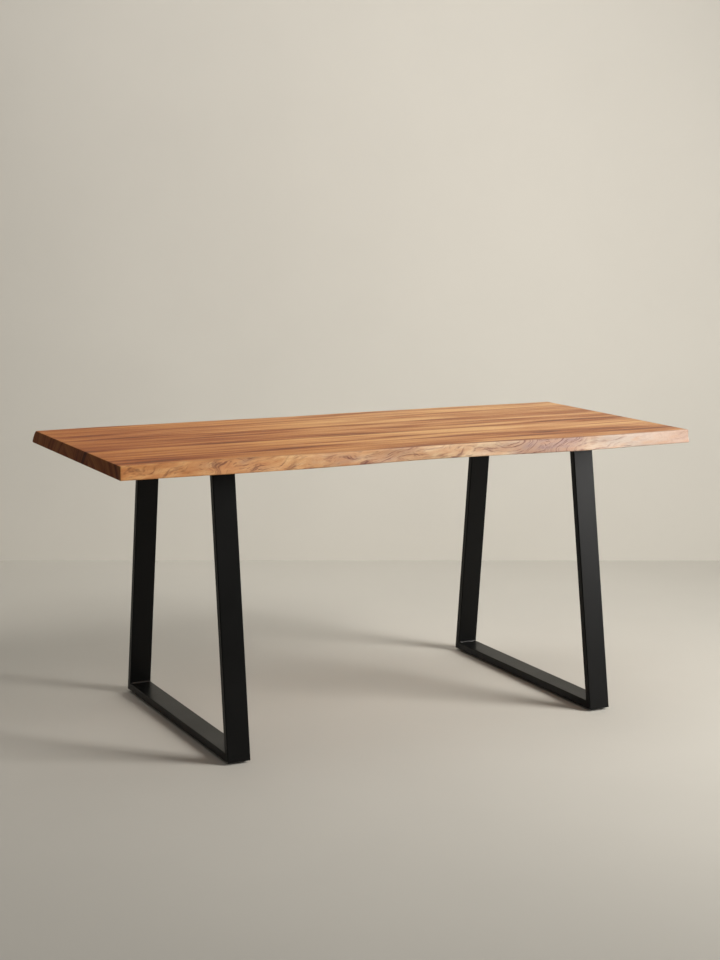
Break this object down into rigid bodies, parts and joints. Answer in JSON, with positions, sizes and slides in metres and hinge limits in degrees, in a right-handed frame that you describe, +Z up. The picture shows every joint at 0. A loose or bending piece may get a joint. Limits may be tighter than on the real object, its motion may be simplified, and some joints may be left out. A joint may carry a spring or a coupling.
{
  "type": "butcher block table",
  "caption": "Dining table with a glued-up solid wood top, live long edges, and black trapezoid steel tube frames on levelling feet.",
  "frame": {"origin": "on the floor, below the middle of the whole table's box", "axes": "+X along the top's length, -Y the front, +Z up"},
  "size_m": [1.6, 0.8008, 0.74],
  "materials": {
    "live_edge_wood": "oiled, satin, with wavy figure along the live edge",
    "red_brown_wood": "oiled, satin, reddish heartwood",
    "golden_wood": "oiled, satin, lighter golden heartwood",
    "black_powder_coat": "fine matt black powder coat",
    "coated_welds": "powder-coated weld bead",
    "zinc_steel": "bright zinc plate",
    "brass_inserts": "turned",
    "nylon_pad": "moulded, matt"
  },
  "bodies": {
    "table": {"front_live_edge_stave": "live_edge_wood", "stave_2": "golden_wood", "stave_3": "red_brown_wood", "stave_4": "red_brown_wood", "stave_5": "golden_wood", "back_live_edge_stave": "live_edge_wood", "left_threaded_inserts": "brass_inserts", "left_mounting_plate": "black_powder_coat", "left_front_post": "black_powder_coat", "left_back_post": "black_powder_coat", "left_bottom_rail": "black_powder_coat", "left_welds": "coated_welds", "left_bolts": "zinc_steel", "left_washers": "zinc_steel", "left_weld_nuts": "zinc_steel", "right_threaded_inserts": "brass_inserts", "right_mounting_plate": "black_powder_coat", "right_front_post": "black_powder_coat", "right_back_post": "black_powder_coat", "right_bottom_rail": "black_powder_coat", "right_welds": "coated_welds", "right_bolts": "zinc_steel", "right_washers": "zinc_steel", "right_weld_nuts": "zinc_steel"},
    "front_left_pad": {"front_left_foot_pad": "nylon_pad"},
    "front_left_stud": {"front_left_foot_stud": "zinc_steel"},
    "back_left_pad": {"back_left_foot_pad": "nylon_pad"},
    "back_left_stud": {"back_left_foot_stud": "zinc_steel"},
    "front_right_pad": {"front_right_foot_pad": "nylon_pad"},
    "front_right_stud": {"front_right_foot_stud": "zinc_steel"},
    "back_right_pad": {"back_right_foot_pad": "nylon_pad"},
    "back_right_stud": {"back_right_foot_stud": "zinc_steel"}
  },
  "joints": [
    {"name": "front_left_foot_height", "type": "slide", "parent": "table", "child": "front_left_pad", "axis": [0, 0, -1], "range_m": [0, 0.008]},
    {"name": "front_left_stud_turn", "type": "hinge", "parent": "front_left_pad", "child": "front_left_stud", "pos_m": [-0.52, -0.35466, 0.0052], "axis": [0, 0, -1], "range_deg": [0, 2304]},
    {"name": "back_left_foot_height", "type": "slide", "parent": "table", "child": "back_left_pad", "axis": [0, 0, -1], "range_m": [0, 0.008]},
    {"name": "back_left_stud_turn", "type": "hinge", "parent": "back_left_pad", "child": "back_left_stud", "pos_m": [-0.52, 0.31534, 0.0052], "axis": [0, 0, -1], "range_deg": [0, 2304]},
    {"name": "front_right_foot_height", "type": "slide", "parent": "table", "child": "front_right_pad", "axis": [0, 0, -1], "range_m": [0, 0.008]},
    {"name": "front_right_stud_turn", "type": "hinge", "parent": "front_right_pad", "child": "front_right_stud", "pos_m": [0.52, -0.35466, 0.0052], "axis": [0, 0, -1], "range_deg": [0, 2304]},
    {"name": "back_right_foot_height", "type": "slide", "parent": "table", "child": "back_right_pad", "axis": [0, 0, -1], "range_m": [0, 0.008]},
    {"name": "back_right_stud_turn", "type": "hinge", "parent": "back_right_pad", "child": "back_right_stud", "pos_m": [0.52, 0.31534, 0.0052], "axis": [0, 0, -1], "range_deg": [0, 2304]}
  ],
  "couplings": [
    {"joint": "front_left_stud_turn", "follows": "front_left_foot_height", "rad_per_m": 5026.5},
    {"joint": "back_left_stud_turn", "follows": "back_left_foot_height", "rad_per_m": 5026.5},
    {"joint": "front_right_stud_turn", "follows": "front_right_foot_height", "rad_per_m": 5026.5},
    {"joint": "back_right_stud_turn", "follows": "back_right_foot_height", "rad_per_m": 5026.5}
  ]
}
